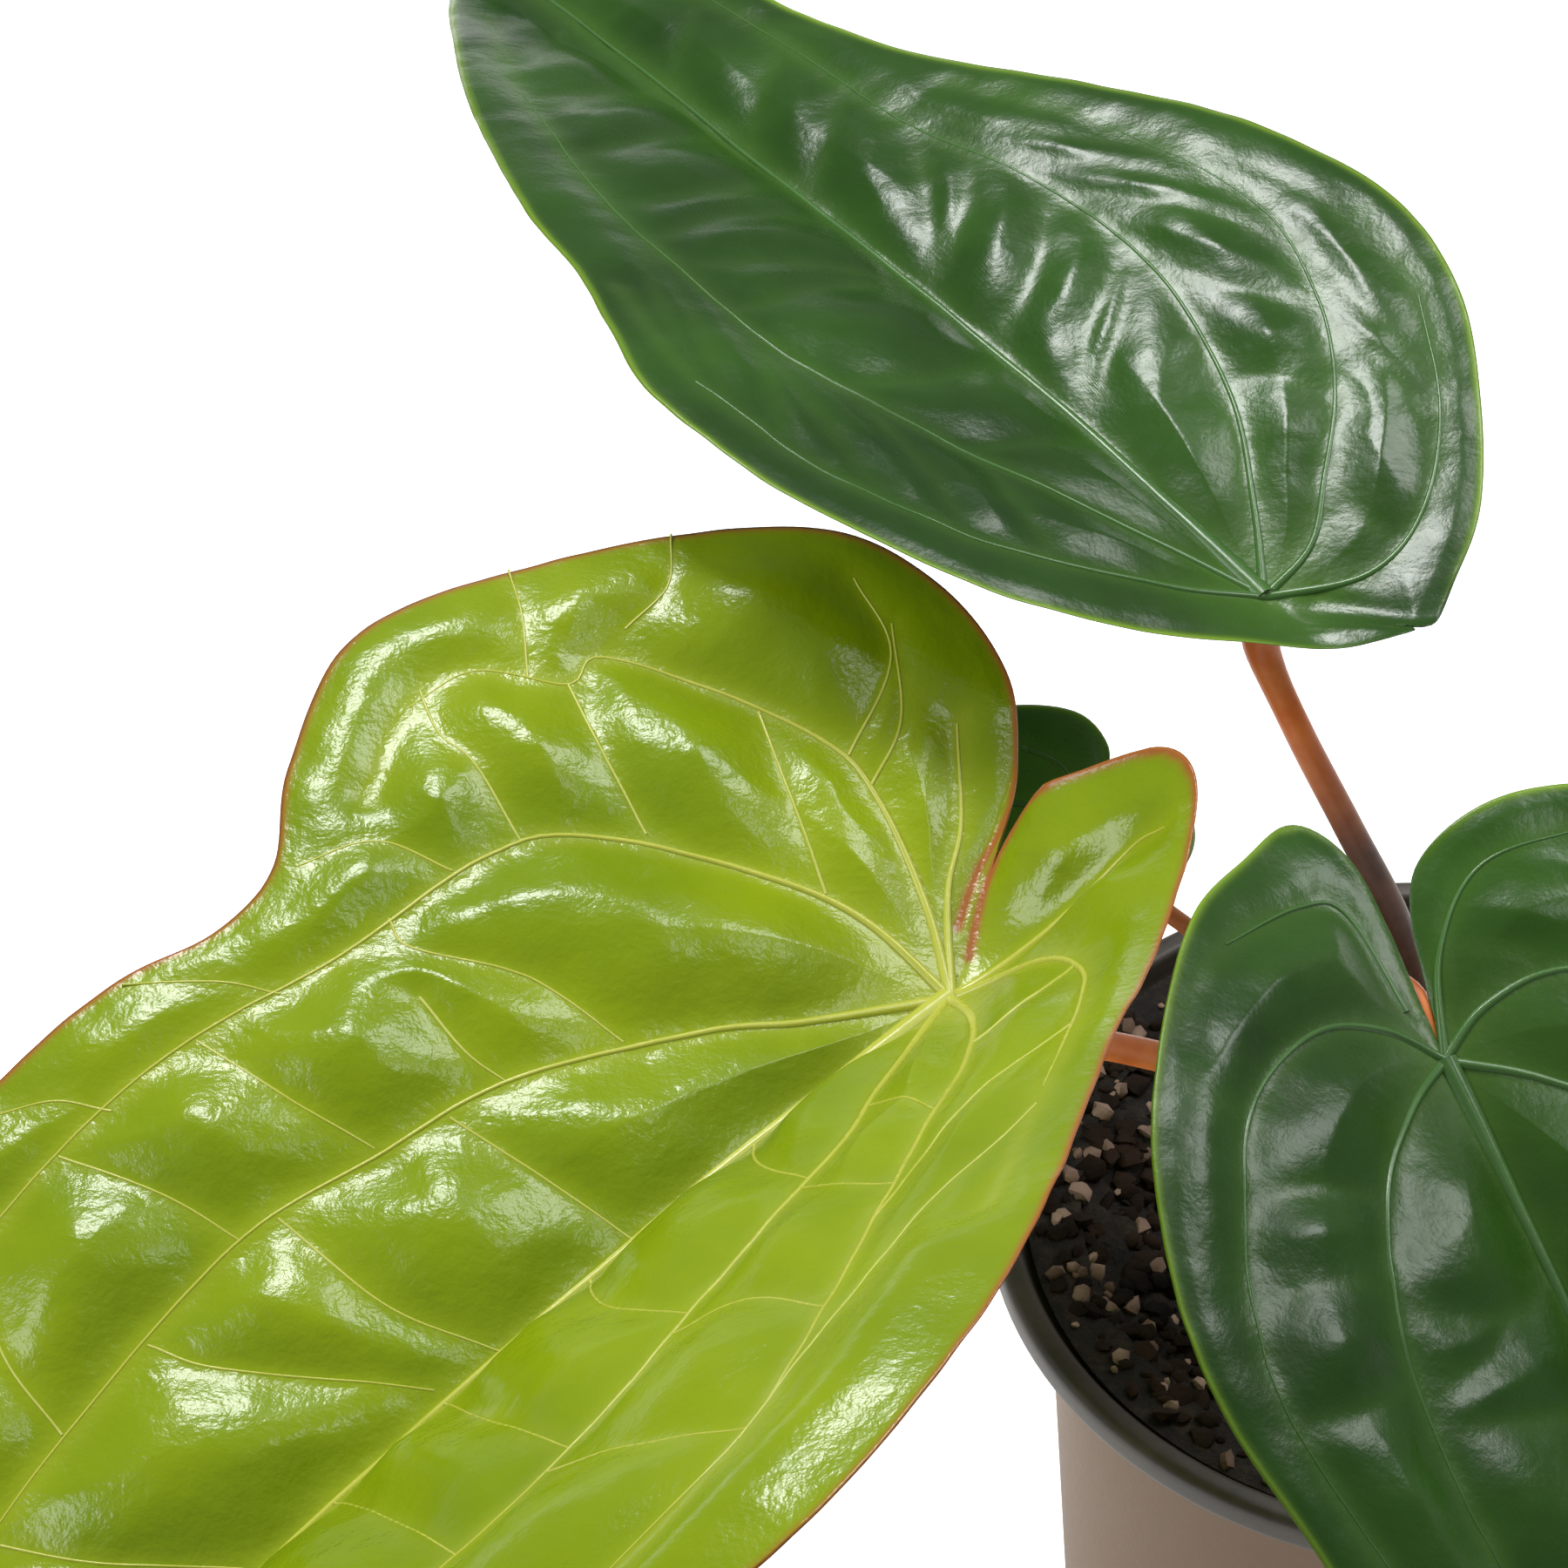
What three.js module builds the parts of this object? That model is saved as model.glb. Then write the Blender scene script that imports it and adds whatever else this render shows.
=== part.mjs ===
// A potted anthurium: four glossy heart-shaped leaves on their stalks, a short stem with
// sheaths and aerial roots, soil, a black nursery pot and the plain outer pot that holds it.
// Millimetres, +Z up. The origin is at the middle of the outer pot's base, on its axis.
import * as THREE from 'three';
import { mergeVertices } from 'three/addons/utils/BufferGeometryUtils.js';

// ---- driving dimensions ----
const GAP = 0.3;                 // clearance between pieces that touch
const POT_HEIGHT = 110;          // floor to the top of the nursery pot's rim
const RIM_WIDTH = 3.6;           // flat top of the rim, measured inwards
const COLLAR_HEIGHT = 4.6;       // depth of the rolled edge below the rim's top
const COVER_TOP_RADIUS = 52;     // outer radius of the outer pot, just under the collar
const COVER_BASE_RADIUS = 45;    // outer radius of the outer pot at the floor
const COVER_WALL = 2;
const RIM_OVERHANG = 8;          // how far the nursery pot's rim stands out over the outer pot
const COVER_FLOOR = 3;
const NURSERY_WALL = 1.2;
const NURSERY_DROP = 0.6;        // space round the nursery pot inside the outer pot
const SOIL_DEPTH = 12;           // rim's top down to the soil
const SOIL_CROWN = 1.5;          // how far the soil rises to its middle
const STEM_RADIUS = 7;
const STEM_HEIGHT = 26;          // stem above the soil
const STEM_RING = 0.7;           // how far the stem's old leaf scars stand out
const SCAR_HALF = 1.5;           // half the height of a leaf scar
const LEAF_THICKNESS = 1.1;
const STALK_RADIUS = 2.2;        // leaf stalks, at mid length
const ROUND_SEGMENTS = 48;
const SEAT = 0.4;                // gap between a stalk's end and its blade

const RIM_RADIUS = COVER_TOP_RADIUS + RIM_OVERHANG;
const COVER_TOP = POT_HEIGHT - COLLAR_HEIGHT - GAP;
const SOIL_TOP = POT_HEIGHT - SOIL_DEPTH;
const STEM_TOP = SOIL_TOP + SOIL_CROWN + GAP + STEM_HEIGHT;
const STALK_FOOT = SOIL_TOP + 9;

const plant = new THREE.Group();

function material(color, roughness) {
  return new THREE.MeshStandardMaterial({ color, roughness, metalness: 0 });
}
const LIGHT_GREEN = material(0x8fae1e, 0.3);
const DARK_GREEN = material(0x2c5a2b, 0.3);
const STALK_BROWN = material(0x96563a, 0.5);
const STEM_GREEN = material(0x6d6a3a, 0.6);
const SHEATH_TAN = material(0xa98a5c, 0.8);
const ROOT_BROWN = material(0x7d6a4c, 0.8);
const SOIL_BLACK = material(0x1a110c, 0.95);
const POT_BLACK = material(0x2a2623, 0.5);
const POT_TAUPE = material(0xa48a74, 0.6);

function addPiece(name, geometry, look) {
  const mesh = new THREE.Mesh(geometry, look);
  mesh.name = name;
  plant.add(mesh);
  return mesh;
}

// ---- round pieces: a profile of [radius, height] turned about the pot's axis ----
function turned(profile) {
  const points = profile.map(([radius, height]) => new THREE.Vector2(radius, height));
  const lathe = new THREE.LatheGeometry(points, ROUND_SEGMENTS);
  lathe.rotateX(Math.PI / 2);
  lathe.deleteAttribute('normal');
  lathe.deleteAttribute('uv');
  return mergeVertices(lathe, 1e-4);
}

function coverRadius(height) {
  const share = height / COVER_TOP;
  return COVER_BASE_RADIUS + (COVER_TOP_RADIUS - COVER_BASE_RADIUS) * share;
}

function nurseryRadius(height) {
  return coverRadius(height) - COVER_WALL - NURSERY_DROP;
}

function coverPot() {
  const lip = 0.6;
  return turned([
    [0, 0],
    [COVER_BASE_RADIUS - lip, 0],
    [COVER_BASE_RADIUS, lip],
    [COVER_TOP_RADIUS, COVER_TOP - lip],
    [COVER_TOP_RADIUS - lip, COVER_TOP],
    [COVER_TOP_RADIUS - COVER_WALL, COVER_TOP],
    [coverRadius(COVER_FLOOR) - COVER_WALL, COVER_FLOOR],
    [0, COVER_FLOOR],
  ]);
}

const NURSERY_BASE = COVER_FLOOR + GAP;
const SHOULDER = POT_HEIGHT - COLLAR_HEIGHT;

// The rim is a flat ring with a rolled outer edge; a shoulder steps in to the tapered wall.
function nurseryPot() {
  const roll = 0.9;
  const outerShoulder = nurseryRadius(SHOULDER);
  const innerRim = RIM_RADIUS - RIM_WIDTH;
  return turned([
    [0, NURSERY_BASE],
    [nurseryRadius(NURSERY_BASE) - roll, NURSERY_BASE],
    [nurseryRadius(NURSERY_BASE), NURSERY_BASE + roll],
    [outerShoulder, SHOULDER - roll],
    [outerShoulder + roll, SHOULDER],
    [RIM_RADIUS - roll, SHOULDER],
    [RIM_RADIUS, SHOULDER + roll],
    [RIM_RADIUS, POT_HEIGHT - roll],
    [RIM_RADIUS - roll, POT_HEIGHT],
    [innerRim + roll, POT_HEIGHT],
    [innerRim, POT_HEIGHT - roll],
    [innerRim - roll, SHOULDER + NURSERY_WALL],
    [outerShoulder - NURSERY_WALL, SHOULDER - 2 * roll],
    [nurseryRadius(NURSERY_BASE) - NURSERY_WALL, NURSERY_BASE + NURSERY_WALL],
    [0, NURSERY_BASE + NURSERY_WALL],
  ]);
}

function soilRadius(height) {
  return nurseryRadius(height) - NURSERY_WALL - GAP;
}

function soil() {
  const base = NURSERY_BASE + NURSERY_WALL + GAP;
  return turned([
    [0, base],
    [soilRadius(base) - GAP, base],
    [soilRadius(SOIL_TOP), SOIL_TOP],
    [soilRadius(SOIL_TOP) * 0.6, SOIL_TOP + SOIL_CROWN * 0.8],
    [0, SOIL_TOP + SOIL_CROWN],
  ]);
}

// Short stem with two swollen rings where old leaves have dropped.
function stem() {
  const foot = SOIL_TOP + SOIL_CROWN + GAP;
  const profile = [[0, foot], [STEM_RADIUS, foot]];
  for (const share of [0.25, 0.55]) {
    const ring = foot + STEM_HEIGHT * share;
    profile.push([STEM_RADIUS, ring - SCAR_HALF], [STEM_RADIUS + STEM_RING, ring], [STEM_RADIUS, ring + SCAR_HALF]);
  }
  profile.push([STEM_RADIUS - 1, STEM_TOP - 4], [STEM_RADIUS - 3, STEM_TOP], [0, STEM_TOP]);
  return turned(profile);
}

addPiece('cover_pot', coverPot(), POT_TAUPE);
addPiece('nursery_pot', nurseryPot(), POT_BLACK);
addPiece('potting_soil', soil(), SOIL_BLACK);
addPiece('stem', stem(), STEM_GREEN);

// ---- leaf blades ----
// A blade is drawn flat first: `along` runs from the stalk's end to the tip, `across` to the
// left of that heading. The flat sheet is then folded up along the midrib, its halves curl,
// the midrib droops, and the back lobes lift. Outlines run from the tip to the sinus, in mm.
// `slit` is the slope, across over along, of the line that parts the two back lobes.
// Joints and stalk points are given from the middle of the nursery pot's rim, so the leaves
// rise with the pot.
const radians = THREE.MathUtils.degToRad;

const LEAVES = [
  {
    name: 'young_leaf',
    look: LIGHT_GREEN,
    joint: [-67, -36, 75],
    heading: 224, rise: 0, roll: 4, droop: 12,
    fold: { left: 40, right: 20 }, curl: -12, lift: { left: 16, right: 6 }, slit: 0.5,
    left: [[194, -4], [176, 28], [152, 60], [122, 84], [93, 94], [71, 91], [54, 84], [38, 73],
      [15, 53], [2, 43], [-15, 29], [-26, 20], [-33, 11], [-34, 2], [-29, -6], [-23, -11], [-15, -9], [-6, -3]],
    right: [[194, -4], [176, -30], [150, -50], [118, -64], [88, -67], [72, -67], [60, -64], [49, -66],
      [38, -76], [20, -86], [1, -83], [-20, -72], [-34, -57], [-38, -41], [-36, -27], [-29, -18],
      [-23, -13.5], [-15, -11], [-8, -7]],
    stem: 205,
    stalk: [[-14, -6, 12], [-25, -8, 29], [-43, -13, 42], [-58, -24, 56]],
  },
  {
    name: 'upper_leaf',
    look: DARK_GREEN,
    joint: [-27, 20, 89],
    heading: 126, rise: 6, roll: 0, droop: 12,
    fold: { left: 22, right: 16 }, curl: -14, lift: { left: 14, right: 6 }, slit: 0.6,
    left: [[196, -8], [178, 5], [158, 17], [136, 29], [105, 42], [87, 46], [72, 51], [58, 55],
      [38, 53], [20, 45], [7, 35], [-3, 20], [-9, 5], [-15, -3], [-17, -8], [-11, -7], [-5, -4]],
    right: [[196, -8], [176, -17], [150, -22], [121, -25], [102, -31], [84, -40], [62, -50], [40, -54],
      [22, -50], [6, -40], [-7, -29], [-14, -19], [-17, -12], [-12, -9.5], [-5, -5.5]],
    stem: 110,
    stalk: [[-4, 10, 14], [-5, 10, 28], [-8, 10, 42], [-15, 12, 57], [-22, 15, 71]],
  },
  {
    name: 'front_leaf',
    look: DARK_GREEN,
    joint: [-9, -48, 77],
    heading: -62, rise: -25, roll: -8, droop: 14,
    fold: { left: 18, right: 20 }, curl: -12, lift: { left: 0, right: 0 }, slit: 0,
    left: [[146, 4], [126, 22], [100, 39], [70, 53], [40, 60], [15, 60], [-5, 54], [-18, 44],
      [-25, 31], [-27, 20], [-24, 10], [-17, 5], [-7, 2.5]],
    right: [[146, 4], [126, -16], [100, -33], [75, -46], [50, -55], [27, -60], [7, -55], [-8, -45],
      [-24, -28], [-31, -13], [-34, -3], [-28, 2], [-17, 2], [-7, 0.5]],
    stem: 290,
    stalk: [[5, -12, 12], [7, -16, 30], [4, -26, 52]],
  },
  {
    name: 'rear_leaf',
    look: DARK_GREEN,
    joint: [-50, 11, 59],
    heading: 215, rise: 0, roll: 0, droop: 14,
    fold: { left: 16, right: 16 }, curl: -12, lift: { left: 2, right: 2 }, slit: 0,
    left: [[66, 0], [52, 13], [34, 22], [14, 24], [-3, 19], [-11, 10], [-8, 4], [-3, 1]],
    right: [[66, 0], [52, -13], [34, -22], [14, -24], [-2, -19], [-10, -14], [-11, -8], [-8, -4], [-3, -1]],
    stem: 160,
    stalk: [[-12, 5, 11], [-22, 8, 28], [-38, 10, 44]],
  },
];

function fromRim([x, y, height]) {
  return new THREE.Vector3(x, y, POT_HEIGHT + height);
}

// Unit vectors of a blade: along the midrib, to its left, and out of its upper face.
function bladeAxes(leaf) {
  const heading = radians(leaf.heading);
  const rise = radians(leaf.rise);
  const along = new THREE.Vector3(
    Math.cos(heading) * Math.cos(rise),
    Math.sin(heading) * Math.cos(rise),
    Math.sin(rise),
  );
  const level = new THREE.Vector3(-Math.sin(heading), Math.cos(heading), 0);
  const up = new THREE.Vector3().crossVectors(along, level);
  const roll = radians(leaf.roll);
  const across = level.multiplyScalar(Math.cos(roll)).addScaledVector(up, Math.sin(roll));
  const out = new THREE.Vector3().crossVectors(along, across);
  return { along, across, out };
}

// End of an arc of a given length that starts at an angle and bends at a steady rate.
function arcEnd(length, angle, rate) {
  const last = angle + rate * length;
  return [
    (Math.sin(last) - Math.sin(angle)) / rate,
    (Math.cos(angle) - Math.cos(last)) / rate,
  ];
}

const LOBE_REACH = 30;           // distance behind the joint at which a lobe has its full lift
const SLIT_BLEND = 4;            // half width over which one lobe's lift turns into the other's
const MIDRIB_ROUNDING = 1.5;     // half width over which the fold is rounded at the midrib
const LOBE_ROUNDING = 0.6;       // how much rounder the fold gets behind the joint, per mm

// Where a point of the flat blade goes once the leaf is folded, curled and drooping.
function bladePoint(leaf, along, across) {
  const axes = bladeAxes(leaf);
  const side = across > 0 ? 'left' : 'right';
  const droop = -radians(leaf.droop) / 100;
  const [forward, fall] = arcEnd(along, 0, droop);
  const [reach, sideHeight] = arcEnd(Math.abs(across), radians(leaf.fold[side]), radians(leaf.curl) / 100);
  const leftShare = THREE.MathUtils.smoothstep(across - leaf.slit * along, -SLIT_BLEND, SLIT_BLEND);
  const fullLift = THREE.MathUtils.lerp(leaf.lift.right, leaf.lift.left, leftShare);
  const lift = fullLift * (Math.max(-along, 0) / LOBE_REACH) ** 2;
  const tilt = droop * along;
  const rounding = MIDRIB_ROUNDING + LOBE_ROUNDING * Math.max(-along, 0);
  const height = sideHeight * Math.abs(across) / Math.hypot(across, rounding);
  return fromRim(leaf.joint)
    .addScaledVector(axes.along, forward - height * Math.sin(tilt))
    .addScaledVector(axes.across, Math.sign(across) * reach)
    .addScaledVector(axes.out, fall + height * Math.cos(tilt) + lift);
}

function bladeNormal(leaf, along, across) {
  const step = 0.5;
  const middle = across === 0;
  const a = bladePoint(leaf, along + step, across).sub(bladePoint(leaf, along - step, across));
  const from = middle ? -step : across - Math.sign(across) * step * 0.5;
  const to = middle ? step : across + Math.sign(across) * step * 0.5;
  const b = bladePoint(leaf, along, Math.max(from, to)).sub(bladePoint(leaf, along, Math.min(from, to)));
  return a.cross(b).normalize();
}

function outlineSide(points, count) {
  const curve = new THREE.SplineCurve(points.map(([x, y]) => new THREE.Vector2(x, y)));
  return curve.getPoints(count);
}

const EDGE_STEPS = 26;           // steps along each half of the outline
const RING_STEPS = 7;            // rings from the joint out to the edge

// A closed sheet of even thickness: an upper and a lower skin fanned out from the joint,
// with a wall round the edge and down both sides of the sinus.
function blade(leaf) {
  const left = outlineSide(leaf.left, EDGE_STEPS).reverse();
  const right = outlineSide(leaf.right, EDGE_STEPS).slice(1);
  const edge = left.concat(right);
  const columns = edge.length;
  const vertices = [];
  const skins = [];
  for (const face of [1, -1]) {
    const start = vertices.length / 3;
    skins.push(start);
    const half = face * LEAF_THICKNESS / 2;
    const hub = bladePoint(leaf, 0, 0).addScaledVector(bladeNormal(leaf, 0, 0), half);
    vertices.push(hub.x, hub.y, hub.z);
    for (const point of edge) {
      for (let ring = 1; ring <= RING_STEPS; ring += 1) {
        const share = ring / RING_STEPS;
        const normal = bladeNormal(leaf, point.x * share, point.y * share);
        const place = bladePoint(leaf, point.x * share, point.y * share).addScaledVector(normal, half);
        vertices.push(place.x, place.y, place.z);
      }
    }
  }
  const at = (skin, column, ring) => (ring === 0 ? skins[skin] : skins[skin] + 1 + column * RING_STEPS + ring - 1);
  const faces = [];
  const quad = (a, b, c, d) => faces.push(a, b, c, a, c, d);
  for (let column = 0; column < columns - 1; column += 1) {
    faces.push(at(0, column, 0), at(0, column + 1, 1), at(0, column, 1));
    faces.push(at(1, column, 0), at(1, column, 1), at(1, column + 1, 1));
    for (let ring = 1; ring < RING_STEPS; ring += 1) {
      quad(at(0, column, ring), at(0, column + 1, ring), at(0, column + 1, ring + 1), at(0, column, ring + 1));
      quad(at(1, column, ring), at(1, column, ring + 1), at(1, column + 1, ring + 1), at(1, column + 1, ring));
    }
    const last = RING_STEPS;
    quad(at(0, column, last), at(0, column + 1, last), at(1, column + 1, last), at(1, column, last));
  }
  for (let ring = 0; ring < RING_STEPS; ring += 1) {
    const end = columns - 1;
    quad(at(0, 0, ring), at(0, 0, ring + 1), at(1, 0, ring + 1), at(1, 0, ring));
    quad(at(0, end, ring + 1), at(0, end, ring), at(1, end, ring), at(1, end, ring + 1));
  }
  const geometry = new THREE.BufferGeometry();
  geometry.setAttribute('position', new THREE.Float32BufferAttribute(vertices, 3));
  geometry.setIndex(faces);
  return geometry;
}

// ---- stalks, roots and sheaths ----
function circle(radius, sides) {
  const shape = new THREE.Shape();
  shape.absarc(0, 0, radius, 0, Math.PI * 2, false);
  return { shape, sides };
}

function tube(points, radius, steps, sides = 10) {
  const path = new THREE.CatmullRomCurve3(points);
  const section = circle(radius, sides);
  const geometry = new THREE.ExtrudeGeometry(section.shape, {
    steps,
    curveSegments: section.sides,
    bevelEnabled: false,
    extrudePath: path,
  });
  geometry.deleteAttribute('normal');
  geometry.deleteAttribute('uv');
  return mergeVertices(geometry, 1e-4);
}

const KNEE = 7;                  // straight run at a stalk's top, square to the blade

// A stalk leaves the stem, and comes up to the blade's joint square to its underside.
function stalk(leaf) {
  const axes = bladeAxes(leaf);
  const joint = fromRim(leaf.joint);
  const under = (depth, back) => joint.clone()
    .addScaledVector(axes.out, -depth)
    .addScaledVector(axes.along, -back);
  const base = STEM_RADIUS + STEM_RING + STALK_RADIUS + GAP;
  const turn = radians(leaf.stem);
  const foot = new THREE.Vector3(Math.cos(turn) * base, Math.sin(turn) * base, STALK_FOOT);
  const points = [foot, ...leaf.stalk.map(fromRim)];
  const seat = LEAF_THICKNESS / 2 + SEAT;
  points.push(under(seat + KNEE, 1), under(seat, 0));
  return tube(points, STALK_RADIUS, 26);
}

for (const leaf of LEAVES) {
  addPiece(leaf.name, blade(leaf), leaf.look);
  addPiece(`${leaf.name}_stalk`, stalk(leaf), STALK_BROWN);
}

// Aerial roots leave the stem low down and dip to the soil.
const ROOTS = [
  { turn: 25, reach: 30 },
  { turn: 70, reach: 24 },
  { turn: 335, reach: 27 },
];
const ROOT_RADIUS = 1.3;
const ROOT_RISE = 7;             // height at which a root leaves the stem, over its resting height
const PIECE_CLEARANCE = 0.4;     // extra room beyond GAP where a slanting end meets its neighbour

ROOTS.forEach(({ turn, reach }, index) => {
  const direction = new THREE.Vector3(Math.cos(radians(turn)), Math.sin(radians(turn)), 0);
  const clear = SOIL_TOP + SOIL_CROWN + ROOT_RADIUS + 2 * GAP;
  const place = (out, height) => direction.clone().multiplyScalar(out).setZ(height);
  const start = STEM_RADIUS + STEM_RING + GAP + PIECE_CLEARANCE;
  const points = [
    place(start, clear + ROOT_RISE),
    place(start + reach * 0.25, clear + ROOT_RISE + 1),
    place(start + reach * 0.6, clear + 4),
    place(start + reach, clear),
  ];
  addPiece(`aerial_root_${index + 1}`, tube(points, ROOT_RADIUS, 12, 8), ROOT_BROWN);
});

// Papery sheaths stand on top of the stem, round the growing point.
const SHEATHS = [
  { turn: 60, height: 30, lean: 0.22 },
  { turn: 240, height: 22, lean: 0.3 },
];

const SHEATH_OFFSET = 2.4;       // from the stem's axis to a sheath's foot
const SHEATH_RADIUS = 1.7;

SHEATHS.forEach(({ turn, height, lean }, index) => {
  const direction = new THREE.Vector3(Math.cos(radians(turn)), Math.sin(radians(turn)), 0);
  const middle = [SHEATH_RADIUS + 0.2, height * 0.5];
  const neck = [SHEATH_RADIUS - 0.6, height * 0.85];
  const profile = [[0, 0], [SHEATH_RADIUS, 0], middle, neck, [0, height]];
  const points = profile.map(([radius, level]) => new THREE.Vector2(radius, level));
  const geometry = new THREE.LatheGeometry(points, 12);
  geometry.rotateX(Math.PI / 2);
  geometry.deleteAttribute('normal');
  geometry.deleteAttribute('uv');
  const closed = mergeVertices(geometry, 1e-4);
  const tip = new THREE.Vector3(0, 0, 1).addScaledVector(direction, lean).normalize();
  closed.applyQuaternion(new THREE.Quaternion().setFromUnitVectors(new THREE.Vector3(0, 0, 1), tip));
  const foot = direction.multiplyScalar(SHEATH_OFFSET).setZ(STEM_TOP + 2 * GAP + PIECE_CLEARANCE);
  closed.translate(foot.x, foot.y, foot.z);
  addPiece(`sheath_${index + 1}`, closed, SHEATH_TAN);
});

export default plant;
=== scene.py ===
# %% [markdown]
# A potted anthurium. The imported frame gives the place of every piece; this file makes the looks.
# Lengths that repeat the part's own design are in millimetres and turned into metres by MM.

# %% Load the frame
import bmesh
import bpy
import math
import random
import numpy as np
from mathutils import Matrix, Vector


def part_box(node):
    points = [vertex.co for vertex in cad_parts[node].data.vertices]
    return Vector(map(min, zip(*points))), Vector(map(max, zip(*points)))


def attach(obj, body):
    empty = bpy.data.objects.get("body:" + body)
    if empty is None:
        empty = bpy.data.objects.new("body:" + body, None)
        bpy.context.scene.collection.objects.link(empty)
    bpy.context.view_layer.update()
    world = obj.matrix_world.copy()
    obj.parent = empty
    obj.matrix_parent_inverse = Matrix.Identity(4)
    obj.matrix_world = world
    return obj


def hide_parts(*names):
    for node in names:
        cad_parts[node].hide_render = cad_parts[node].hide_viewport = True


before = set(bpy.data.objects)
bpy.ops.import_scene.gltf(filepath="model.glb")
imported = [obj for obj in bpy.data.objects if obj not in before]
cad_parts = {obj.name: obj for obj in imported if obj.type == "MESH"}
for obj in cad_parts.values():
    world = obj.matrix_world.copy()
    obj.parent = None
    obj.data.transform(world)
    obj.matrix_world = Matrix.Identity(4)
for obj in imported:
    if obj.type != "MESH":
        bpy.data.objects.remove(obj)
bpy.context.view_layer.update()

MM = 0.001
rng = random.Random(7)

# %% [markdown]
# The camera comes first. It looks down at the plant from the front, a little over arm's length
# away, through a long lens.

# %% Camera
LOOK_DOWN = math.radians(44)
CAMERA_DISTANCE = 0.808
LENS = 140
RIM_FROM_MIDDLE = (0.0869, -0.0548)
rim_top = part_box("nursery_pot")[1][2]
forward = Vector((0, math.cos(LOOK_DOWN), -math.sin(LOOK_DOWN)))
upward = Vector((0, math.sin(LOOK_DOWN), math.cos(LOOK_DOWN)))
sideways = Vector((1, 0, 0))
place = Vector((0, 0, rim_top)) - CAMERA_DISTANCE * forward
place = place - RIM_FROM_MIDDLE[0] * sideways - RIM_FROM_MIDDLE[1] * upward
bpy.ops.object.camera_add(location=place, rotation=(math.pi / 2 - LOOK_DOWN, 0, 0))
camera = bpy.context.object
camera.data.lens = LENS
camera.data.sensor_width = 36
camera.data.clip_end = 20
bpy.context.scene.camera = camera
bpy.context.scene.view_settings.view_transform = "Standard"
print("camera at", tuple(round(v, 4) for v in place))

# %% [markdown]
# Light is a bright, even room: a white surround and five square panels. The one behind gives the
# bright patches on the glossy blades, the large one at the left fills the shadows, and the three
# small ones at the right and above add lesser highlights.

# %% Floor and lights
FLOOR_SIZE = 6
FLOOR_DROP = 0.0005
ROOM_LIGHT = 0.25


def panel(name, size, power, where, aim=(0, 0, 0.15)):
    bpy.ops.object.light_add(type="AREA", location=where)
    light = bpy.context.object
    light.name = name
    light.data.shape = "SQUARE"
    light.data.size = size
    light.data.energy = power
    light.rotation_euler = (Vector(aim) - Vector(where)).to_track_quat("-Z", "Y").to_euler()
    return light


bpy.ops.mesh.primitive_plane_add(size=FLOOR_SIZE, location=(0, 0, -FLOOR_DROP))
floor = bpy.context.object
floor.name = "floor"
panel("back_panel", 0.26, 7, (-0.26, 0.62, 1.06))
panel("left_panel", 0.7, 12, (-1.1, -0.3, 1.1))
panel("right_panel", 0.36, 4.5, (0.40, 0.60, 1.15))
panel("top_panel", 0.22, 1.2, (0.45, 0.0, 1.30))
panel("side_panel", 0.28, 2.2, (0.80, 0.40, 0.80))
world = bpy.data.worlds.new("room")
bpy.context.scene.world = world
world.use_nodes = True
world.node_tree.nodes["Background"].inputs["Color"].default_value = (1, 1, 1, 1)
world.node_tree.nodes["Background"].inputs["Strength"].default_value = ROOM_LIGHT

# %% [markdown]
# Finishes are written as sums. Value wraps one socket of the shader, so that an expression such
# as 0.5 + noise * 0.1 adds the Math nodes that it needs.

# %% Shader helpers


class Value:
    def __init__(self, shader, socket):
        self.shader = shader
        self.socket = socket

    def math(self, operation, *others):
        inputs = dict(enumerate((self, *others)))
        return self.shader.node("ShaderNodeMath", {"operation": operation}, inputs)

    def __add__(self, other):
        return self.math("ADD", other)

    __radd__ = __add__

    def __mul__(self, other):
        return self.math("MULTIPLY", other)

    def clamp(self):
        return self.math("MINIMUM", 1.0).math("MAXIMUM", 0.0)


class Shader:
    def __init__(self, name):
        self.material = bpy.data.materials.new(name)
        self.material.use_nodes = True
        self.tree = self.material.node_tree
        self.surface = self.tree.nodes["Principled BSDF"]

    def set(self, name, value):
        if isinstance(value, Value):
            self.tree.links.new(value.socket, self.surface.inputs[name])
        elif isinstance(value, tuple):
            self.surface.inputs[name].default_value = (*value, 1)
        else:
            self.surface.inputs[name].default_value = value

    def node(self, kind, settings=None, inputs=None, output=0):
        node = self.tree.nodes.new(kind)
        for key, value in (settings or {}).items():
            setattr(node, key, value)
        for key, value in (inputs or {}).items():
            if isinstance(value, Value):
                self.tree.links.new(value.socket, node.inputs[key])
            else:
                if isinstance(value, tuple) and len(value) == 3 and node.inputs[key].type == "RGBA":
                    value = (*value, 1)
                node.inputs[key].default_value = value
        return Value(self, node.outputs[output])

    def place(self):
        return self.node("ShaderNodeTexCoord", output="Object")

    def attribute(self, name):
        return self.node("ShaderNodeAttribute", {"attribute_name": name}, output="Fac")

    def noise(self, scale, detail=3.0, rough=0.55):
        inputs = {"Vector": self.place(), "Scale": scale, "Detail": detail, "Roughness": rough}
        return self.node("ShaderNodeTexNoise", None, inputs, output="Fac")

    def ramp(self, value, low, high):
        inputs = {"Value": value, "From Min": low, "From Max": high, "To Min": 0.0, "To Max": 1.0}
        return self.node("ShaderNodeMapRange", {"clamp": True}, inputs)

    def mix(self, factor, first, second):
        inputs = {"Factor": factor, 6: first, 7: second}
        return self.node("ShaderNodeMix", {"data_type": "RGBA"}, inputs, output=2)

    def bump(self, height, depth, strength=1.0):
        inputs = {"Height": height, "Distance": depth, "Strength": strength}
        self.set("Normal", self.node("ShaderNodeBump", None, inputs))


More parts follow.
